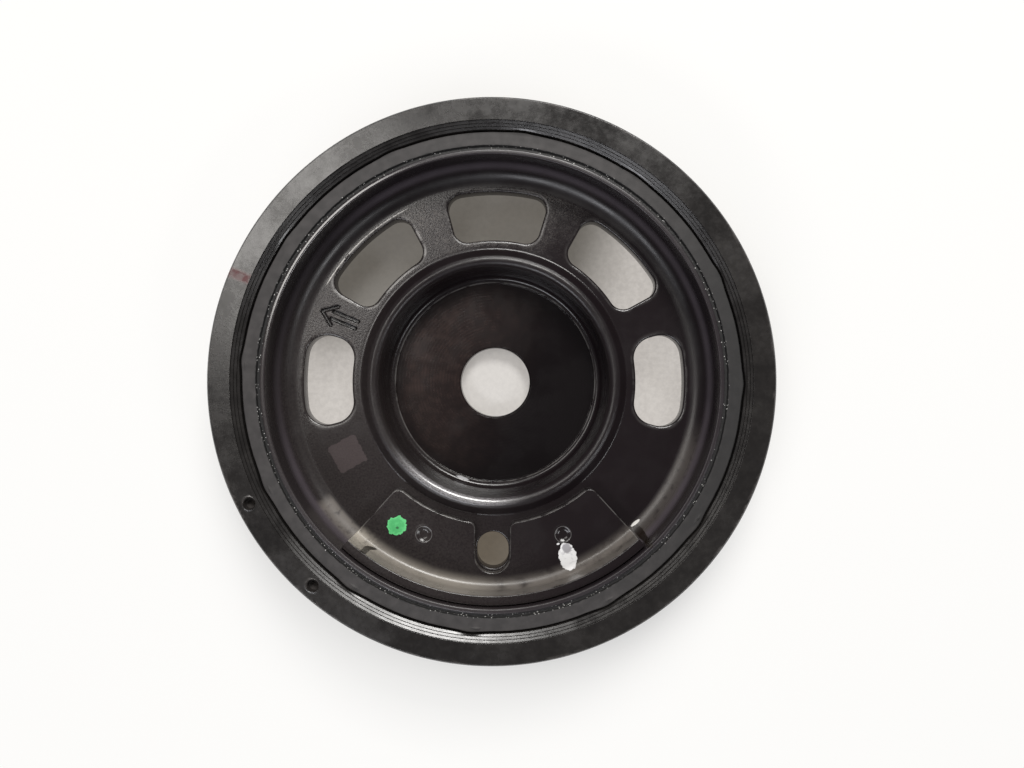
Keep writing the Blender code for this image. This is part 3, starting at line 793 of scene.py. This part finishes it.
class RubberRing(bpy.types.Operator):
    """Builds the rubber band with its swellings and its lumpy, oily inner edge"""

    bl_idname = "pulley.rubber_ring"
    bl_label = "Rubber ring"

    def execute(self, context):
        say = context.scene.pulley_rubber
        face = say.face / MM
        rear = face - say.length / MM
        angles = angles_around(0.4)
        front = [(r, face - 0.02, 0) for r in (60.6, 61.0, 61.15, 61.3, 61.45, 61.6, 61.75)]
        profile = rounded([
            (60.0, face - 0.04, 0),
            *front,
            (62.2, face, 0.3),
            (62.2, face - 1.6, 0.2),
            (62.45, face - 1.8, 0.1),
            (62.45, rear, 0.4),
            (WALL_OUTER + 0.04, rear, 0.4),
            (WALL_OUTER + 0.04, REBATE_Z + 0.04, 0.1),
            (LIP_OUTER + 0.06, REBATE_Z + 0.04, 0.1),
            (LIP_OUTER + 0.1, REBATE_Z + 0.5, 0.08),
            (58.55, REBATE_Z + 0.35, 0.15),
            (58.85, face, 0.15),
            (59.5, face, 0),
            (60.0, face - 0.04, 0),
        ])[:-1]
        grid = turned(profile, angles)
        across, up = profile[:, 0], profile[:, 1]
        outer = smooth(across, 61.5, 62.2) * smooth(up, face - 1.5, face - 1.0) * (across < 62.3)
        inner = (1 - smooth(across, 58.8, 59.1)) * smooth(up, face - 0.9, face - 0.4)
        mark = np.exp(-(((across - 61.45) / 0.2) ** 2)) * (up > face - 0.2)
        swell = bulges(angles)
        waves = ripple(angles, (17, 29, 43, 67, 97, 131, 173), 3)
        lumps = ripple(angles, (37, 61, 89, 127, 167, 211, 263), 5)
        radial = outer[:, None] * (BULGE * swell + 0.05 * waves) + inner[:, None] * 0.10 * lumps
        stretch = 1 + radial / np.hypot(grid[..., 0], grid[..., 1])
        grid[..., :2] *= stretch[..., None]
        grid[..., 2] += outer[:, None] * 0.12 * swell + inner[:, None] * 0.10 * lumps
        lower_half = 1 - smooth(np.abs(angles - 260), 65, 110)
        grid[..., 2] += mark[:, None] * 0.30 * lower_half * bulges(angles, 1.2, 0.9)
        shell = Shell()
        shell.add(grid, 0.0, around=True, closed=True)
        shell.finish("rubber_band", rubber_finish(say.colour), "rubber_ring", "band_rubber")
        return {"FINISHED"}


def sector_outline(inner, outer, half, corner):
    """A ring sector about +X: two arcs about the axis, radial sides and four corner circles."""
    out_in = half - math.degrees(math.asin(corner / (outer - corner)))
    in_in = half - math.degrees(math.asin(corner / (inner + corner)))
    side = np.concatenate([
        arc((0, 0), outer, 0, out_in, 20),
        arc(polar(outer - corner, out_in), corner, out_in, half + 90, 16),
        arc(polar(inner + corner, in_in), corner, half + 90, in_in + 180, 16),
        arc((0, 0), inner, in_in, 0, 20),
    ])
    return np.concatenate([side, (side * (1, -1))[-2:0:-1]])


def turned_flat(points, degrees):
    """Flat points turned about the axis."""
    cos, sin = math.cos(math.radians(degrees)), math.sin(math.radians(degrees))
    return points @ np.array([[cos, sin], [-sin, cos]])


def slot_outline(half_width, half_length):
    """Two half circles joined by straight sides, long along X."""
    reach = half_length - half_width
    return np.concatenate([
        arc((reach, 0), half_width, -90, 90, 40),
        arc((-reach, 0), half_width, 90, 270, 40),
    ])


def stroke_distance(across, up, start, end, half):
    """Signed distance to a stroke: the distance to its middle line, less half its width."""
    run = np.subtract(end, start)
    share = np.clip(((across - start[0]) * run[0] + (up - start[1]) * run[1]) / (run @ run), 0, 1)
    return np.hypot(across - start[0] - share * run[0], up - start[1] - share * run[1]) - half


def arrow_sink(flat):
    """Depth share of the stamped arrow: 1 inside its strokes, 0 outside.

    Its head and shaft are each a stroke and its mirror image. The least signed distance
    counts, and it is smoothed over the slope of the stamp's sides.
    """
    local = turned_flat(flat.reshape(-1, 2), -ARROW_ANGLE).reshape(flat.shape)
    across, up = local[..., 0], local[..., 1]
    tip, neck, tail, barb, side, slope = 49.0, 45.5, 39.2, 2.6, 0.98, 0.16
    shaft = stroke_distance(across, np.abs(up), (tail, side), (neck + 0.5, side), 0.42)
    head = stroke_distance(across, np.abs(up), (tip, 0.0), (neck, barb), 0.40)
    return 1 - smooth(np.minimum(shaft, head), -slope, slope)


class Hub(bpy.types.Operator):
    """Builds the drawn hub: cup, bump, web with windows, slot and arrow, wall and lip"""

    bl_idname = "pulley.hub"
    bl_label = "Hub"

    def execute(self, context):
        say = context.scene.pulley_hub
        roll = say.roll / MM
        low, high = 35.75, 51.3
        angles = angles_around(1.5, (153.0, 162.0, 0.2))
        cup = rounded([
            (low, WEB_Z, 0),
            (BUMP_FOOT, WEB_Z, 1.0),
            (33.1, BUMP_Z - 0.4, 1.5),
            (32.15, BUMP_Z, 1.1),
            (30.35, BUMP_Z, 1.8),
            (CUP_FOOT, LEDGE_Z, 1.3),
            (SEAT_RIM + 0.2, LEDGE_Z, 0.12),
            (SEAT_RIM, SEAT_Z, 0.12),
            (BOLT_HOLE + 0.35, SEAT_Z, 0.1),
            (BOLT_HOLE, SEAT_Z - 0.35, 0.1),
            (BOLT_HOLE, 0.4, 0.1),
            (BOLT_HOLE + 0.35, 0, 0.1),
            (33.2, 0, 3.0),
            (33.2, WEB_REAR_Z, 1.5),
            (low, WEB_REAR_Z, 0),
        ])
        wall = rounded([
            (high, WEB_Z, 0),
            (WALL_INNER, WEB_Z, 5.0),
            (WALL_INNER, LIP_Z, 0.5),
            (WALL_INNER + 0.58, LIP_Z, 0),
            (WALL_INNER + 0.85, LIP_Z - 0.015, 0),
            (LIP_OUTER - 0.1, LIP_Z - 0.03, 0),
            (LIP_OUTER, LIP_Z - 0.1, 0),
            (LIP_OUTER, REBATE_Z, 0.1),
            (WALL_OUTER, REBATE_Z, 0.2),
            (WALL_OUTER, WEB_REAR_Z, 7.0),
            (high, WEB_REAR_Z, 0),
        ])
        shell = Shell()
        places = [(BOLT_HOLE + 0.05, SEAT_Z - 0.2), (SEAT_RIM + 0.2, LEDGE_Z)]
        shell.add(turned(cup, angles), 0.6 * edge_value(cup, places, 0.3), around=True)
        shell.add(turned(wall, angles), around=True)
        radii = np.linspace(low, high, 80)
        rows = hole_rows(roll, 0.45)
        worn = np.array([0] * 5 + [0.4, 0.9, 0.6] + [0] * (len(rows) - 8))[:, None]
        # Each window: middle angle, half angle, corner radius, start and end of its cell, and how
        # rubbed its rolled edge is; the top and upper left windows are rubbed more, which paints the
        # highlight along their edges
        windows = [
            (0.4, 15.5, 5.6, -19.5, 22.5, 0.2),
            (44.7, 16.0, 3.7, 22.5, 67.5, 0.2),
            (89.0, 16.0, 3.7, 67.5, 112.5, 0.5),
            (134.0, 16.0, 3.7, 112.5, 153.0, 1.6),
            (179.3, 15.2, 5.6, 162.0, 202.5, 0.3),
        ]
        for middle, half, corner, start, end, rubbed in windows:
            outline = turned_flat(sector_outline(WINDOW_INNER, WINDOW_OUTER, half, corner), middle)
            centre = polar(WINDOW_CIRCLE, middle)
            cell = holed_cell(radii, span(angles, start, end), outline, centre, rows)
            shell.add(cell, worn * rubbed, around=True)
        slot = slot_outline(INDEX_HALF_WIDTH, INDEX_HALF_LENGTH) + (INDEX_CIRCLE, 0)
        centre = polar(INDEX_CIRCLE, INDEX_ANGLE)
        outline = turned_flat(slot, INDEX_ANGLE)
        cell = holed_cell(radii, span(angles, 259.5, 280.5), outline, centre, hole_rows(0.5, 0.3))
        shell.add(cell, 0.0, around=True)
        for start, end in ((153.0, 162.0), (202.5, 259.5), (280.5, 340.5)):
            front = sector(radii, span(angles, start, end), WEB_Z)
            sunk = arrow_sink(front[..., :2])
            front[..., 2] -= sunk * say.arrow_depth / MM
            # The arrow's edge value is below 0, which darkens its stamp as painted shade, most on the
            # sloping sides
            shell.add(front, -np.minimum(1, 4 * sunk * (1 - sunk) + 0.65 * sunk))
            shell.add(sector(radii, span(angles, start, end), WEB_REAR_Z))
        shell.finish("hub_dressed", hub_finish(say.colour), "hub", "hub_coat")
        return {"FINISHED"}


def plate_inner_edge(start, end):
    """The plate's inner edge seen from above, about the notch's axis, and the notch's columns.

    Corner circle, inner arc, flared mouth, notch side, half circle, and back the same way.
    The second result tells which points belong to the notch.
    """
    inner, corner, half_width, flare, bottom = 36.9, 2.2, 4.5, 1.8, 45.15
    across = half_width + flare
    along = math.sqrt((inner + flare) ** 2 - across**2)
    meet = math.degrees(math.atan2(across, along))
    turn = math.degrees(math.asin(corner / (inner + corner)))

    def outer_part(limit):
        centre = polar(inner + corner, limit - turn)
        corner_arc = arc(centre, corner, limit + 90, limit - turn + 180, 9)
        edge = arc((0, 0), inner, limit - turn, meet, int((limit - turn - meet) / 0.4))
        return np.concatenate([corner_arc, edge[1:]])

    mouth = arc((along, across), flare, meet + 180, 270, 8)
    side = np.stack([np.linspace(along, bottom, 24), np.full(24, half_width)], 1)
    half_round = arc((bottom, 0), half_width, 90, 0, 26)
    notch = np.concatenate([mouth, side[1:], half_round[1:]])
    notch = np.concatenate([notch, (notch * (1, -1))[-2::-1]])
    high, low = outer_part(end), outer_part(-start)
    points = np.concatenate([high, notch[1:-1], (low * (1, -1))[::-1]])
    inside = np.zeros(len(points), bool)
    inside[len(high) - 1 : len(high) + len(notch) - 1] = True
    return points[::-1], inside[::-1]


def weld_dish(flat):
    """Height change of the weld spots: a smooth step down to a dish, and a bell curve for its rim."""
    depth, floor, dish = 0.42, 0.9, 2.1
    lift, rim, width = 0.10, 2.25, 0.28
    change = np.zeros(flat.shape[:-1])
    for angle in WELD_ANGLES:
        away = np.linalg.norm(flat - polar(WELD_CIRCLE, angle), axis=-1)
        change -= depth * (1 - smooth(away, floor, dish))
        change += lift * np.exp(-(((away - rim) / width) ** 2))
    return change


class BalancePlate(bpy.types.Operator):
    """Builds the bent balance plate with its notch and pressed weld spots"""

    bl_idname = "pulley.balance_plate"
    bl_label = "Balance plate"

    def execute(self, context):
        say = context.scene.pulley_plate
        half = say.thickness / MM / 2
        edge, bend_at = 0.35, 51.5
        middle_z, wall = PLATE_Z - half, PLATE_WALL + half
        bend = wall - bend_at
        outline, in_notch = plate_inner_edge(PLATE_START - INDEX_ANGLE, PLATE_END - INDEX_ANGLE)
        ahead = np.gradient(outline, axis=0)
        outward = np.stack([-ahead[:, 1], ahead[:, 0]], 1)
        outward /= np.linalg.norm(outward, axis=1)[:, None]
        start = outline - outward * edge
        tops = np.degrees(np.arctan2(start[:, 1], start[:, 0]))
        tops[in_notch] = np.linspace(*tops[in_notch][[0, -1]], in_notch.sum())
        shares = np.linspace(0, 1, 54)[:, None, None]
        flat = start * (1 - shares) + polar(bend_at, tops) * shares
        turn = np.linspace(0, QUARTER, 13)[1:]
        rise = np.linspace(middle_z + bend, PLATE_TOP - edge, 9)[1:]
        radius = np.concatenate([bend_at + bend * np.sin(turn), np.full(len(rise), wall)])
        bent = polar(radius[:, None], tops[None, :])
        height = np.concatenate([
            np.full(len(flat), middle_z), middle_z + bend * (1 - np.cos(turn)), rise,
        ])
        tilt = np.concatenate([np.zeros(len(flat)), turn, np.full(len(rise), QUARTER)])
        level = turned_flat(np.concatenate([flat, bent]), INDEX_ANGLE)
        middle = np.dstack([level, np.broadcast_to(height[:, None], level.shape[:2])])
        out = level / np.linalg.norm(level, axis=-1, keepdims=True)
        flat_normal = -out * np.sin(tilt)[:, None, None]
        normal = np.dstack([flat_normal, np.broadcast_to(np.cos(tilt)[:, None], out.shape[:2])])
        upper, lower = middle + normal * half, middle - normal * half
        upper[..., 2] += weld_dish(upper[..., :2]) * (tilt < 0.001)[:, None]
        shell = Shell()
        shell.add(upper)
        shell.add(lower)
        along = np.dstack([-out[..., 1], out[..., 0], np.zeros(out.shape[:2])])
        lifted = np.broadcast_to((0.0, 0.0, 1.0), along.shape)
        level_out = np.concatenate([turned_flat(outward, INDEX_ANGLE), np.zeros((len(outward), 1))], 1)
        leave = [level_out, along[1:-1, -1], along[-1:, -1] + lifted[-1:, -1], lifted[-1, -2:0:-1]]
        leave += [lifted[-1:, 0] - along[-1:, 0], -along[-2:0:-1, 0]]
        leave = np.concatenate(leave)
        rim, rim_normal = self.around(middle), self.around(normal)
        quarter = np.linspace(0, QUARTER, 6)
        over = np.concatenate([quarter, quarter[::-1]])[:, None, None]
        side = np.repeat([1.0, -1.0], 6)[:, None, None]
        depth = side * (half - edge * (1 - np.cos(over)))
        worn = np.zeros((12, len(rim)))
        # Edge rubbing, strongest between the plate's start and its notch, which also paints the
        # highlight on those edges
        worn[1:6, : level.shape[1]] = np.where(in_notch, 0.4, np.where(outline[:, 1] < 0, 1.0, 0.5))
        worn[1:4, level.shape[1] :] = 0.5
        shell.add(rim + leave * edge * np.sin(over) + rim_normal * depth, worn, around=True)
        finish = plate_finish(say.colour, say.green, say.white)
        shell.finish("balance_weight", finish, "balance_plate", "plate_coat")
        return {"FINISHED"}

    @staticmethod
    def around(grid):
        """A grid's outermost points in order: first row, last column, last row, first column."""
        return np.concatenate([grid[0], grid[1:, -1], grid[-1, -2::-1], grid[-2:0:-1, 0]])


# Stage

# Half the floor's side and the eye's place in metres; the shift frames the pulley as photographed
FLOOR_HALF = 3.0
EYE_X, EYE_Y = 0.0081, -0.0015
SHIFT_X, SHIFT_Y = -0.0124, 0.0036


def floor_finish(colour):
    """Matt pale floor with a very faint mottle, greyer under the pulley as painted shade, with painted
    shades by place where the windows and the slot show it.

    Part of what the camera and mirrors see of it is its own light, which grows away from the pulley and
    so lightens the shadow there.
    """
    g = Graph("stage_floor")
    under = 1 - g.radius.rise(58, 68)
    ground = g.radius.rise(66, 94) * 0.5 + g.radius.rise(66, 76) * 0.28
    own = g.seen() * (ground + under * (0.5 + g.radius.rise(11, 20) * 0.32))
    tint = g.mix(g.noise(0.01, 3.0) * 0.15, tuple(colour), tuple(c * 0.94 for c in colour))
    # Painted shade: the floor is greyer under the pulley
    tint = g.mix(under * 0.4, tint, (0.36, 0.34, 0.315))
    tint = g.mix(own, tint, (0.0, 0.0, 0.0))
    # Painted shade by place: darker behind the top and upper left windows and the slot, brownish in the
    # slot
    dim = (g.y.rise(2, 24) * (1 - (g.x - g.y * 0.25).rise(10, 34))).most(1 - g.y.rise(-42, -34))
    through = g.mix(dim, (0.66, 0.62, 0.58), (0.160, 0.146, 0.126))
    through = g.mix(1 - g.y.rise(-38, -34), through, (0.165, 0.138, 0.105))
    through = g.mix(g.noise(0.7, 4.0, 0.7).rise(0.3, 0.7) * 0.16, through, (0.05, 0.045, 0.04))
    light = g.mix(own, (0.0, 0.0, 0.0), g.mix(under, (0.985, 0.98, 0.965), through))
    return g.finish(
        Base_Color=tint,
        Roughness=0.9,
        Specular_IOR_Level=0.1,
        Emission_Color=light,
        Emission_Strength=1.0,
    )


def lamp(name, azimuth, tilt, distance, size, watts, colour):
    """A soft lamp that looks at the pulley, at an azimuth, a tilt from the vertical and a distance."""
    data = bpy.data.lights.new(name, "AREA")
    data.shape, data.size, data.size_y = "RECTANGLE", size[0], size[1]
    data.energy, data.color = watts, colour
    made = bpy.data.objects.new(name, data)
    flat = polar(distance * math.sin(math.radians(tilt)), azimuth)
    made.location = (flat[0], flat[1], distance * math.cos(math.radians(tilt)))
    made.rotation_euler = (math.radians(tilt), 0, math.radians(azimuth + 90))
    bpy.context.scene.collection.objects.link(made)


class Stage(bpy.types.Operator):
    """Sets the pale floor, the plain lamps and world, and the camera of the photograph's view"""

    bl_idname = "pulley.stage"
    bl_label = "Stage"

    def execute(self, context):
        say = context.scene.pulley_stage
        scene = context.scene
        mesh = bpy.data.meshes.new("floor")
        corners = [(x * FLOOR_HALF, y * FLOOR_HALF, 0) for x, y in ((-1, -1), (1, -1), (1, 1), (-1, 1))]
        mesh.from_pydata(corners, [], [(0, 1, 2, 3)])
        mesh.materials.append(floor_finish(say.floor))
        floor = bpy.data.objects.new("floor", mesh)
        scene.collection.objects.link(floor)
        lamp("key", 78, 42, 1.0, (0.46, 0.28), 8.9, (1.0, 0.985, 0.96))
        lamp("side", 143, 23, 0.9, (0.32, 0.26), 1.62, (1.0, 0.97, 0.93))
        lamp("fill", 322, 46, 1.0, (0.36, 0.12), 1.4, (0.97, 0.98, 1.0))
        lamp("low", 240, 46, 1.0, (0.60, 0.20), 3.2, (0.94, 0.95, 1.0))
        world = bpy.data.worlds.new("plain")
        world.use_nodes = True
        tree = world.node_tree
        background = tree.nodes["Background"]
        background.inputs["Color"].default_value = (1.0, 0.95, 0.97, 1.0)
        background.inputs["Strength"].default_value = say.world
        scene.world = world
        camera = bpy.data.cameras.new("camera")
        camera.lens, camera.sensor_width, camera.sensor_fit = say.lens, 36.0, "HORIZONTAL"
        camera.clip_start = 0.01
        eye = bpy.data.objects.new("camera", camera)
        eye.location = (EYE_X, EYE_Y, FACE_Z * MM + say.height)
        camera.shift_x, camera.shift_y = SHIFT_X, SHIFT_Y
        scene.collection.objects.link(eye)
        scene.camera = eye
        scene.view_settings.view_transform = "Standard"
        return {"FINISHED"}


OPERATORS = (BeltRing, RubberRing, Hub, BalancePlate, Stage)
GROUPS = {
    "pulley_ring": RingSettings,
    "pulley_rubber": RubberSettings,
    "pulley_hub": HubSettings,
    "pulley_plate": PlateSettings,
    "pulley_stage": StageSettings,
}


class PulleyPanel(bpy.types.Panel):
    """Sizes, colours and the buttons that build each piece"""

    bl_idname = "VIEW3D_PT_pulley"
    bl_label = "Crankshaft pulley"
    bl_space_type = "VIEW_3D"
    bl_region_type = "UI"
    bl_category = "Pulley"

    def draw(self, context):
        for operator, group in zip(OPERATORS, GROUPS):
            box = self.layout.box()
            settings = getattr(context.scene, group)
            for name in GROUPS[group].__annotations__:
                box.prop(settings, name)
            box.operator(operator.bl_idname)


def register():
    for kind in (*GROUPS.values(), *OPERATORS, PulleyPanel):
        bpy.utils.register_class(kind)
    for name, kind in GROUPS.items():
        setattr(bpy.types.Scene, name, bpy.props.PointerProperty(type=kind))


def unregister():
    for name in GROUPS:
        delattr(bpy.types.Scene, name)
    for kind in (PulleyPanel, *reversed(OPERATORS), *reversed(GROUPS.values())):
        bpy.utils.unregister_class(kind)


def main():
    register()
    bpy.ops.pulley.belt_ring()
    bpy.ops.pulley.rubber_ring()
    bpy.ops.pulley.hub()
    bpy.ops.pulley.balance_plate()
    bpy.ops.pulley.stage()


if __name__ == "__main__":
    main()
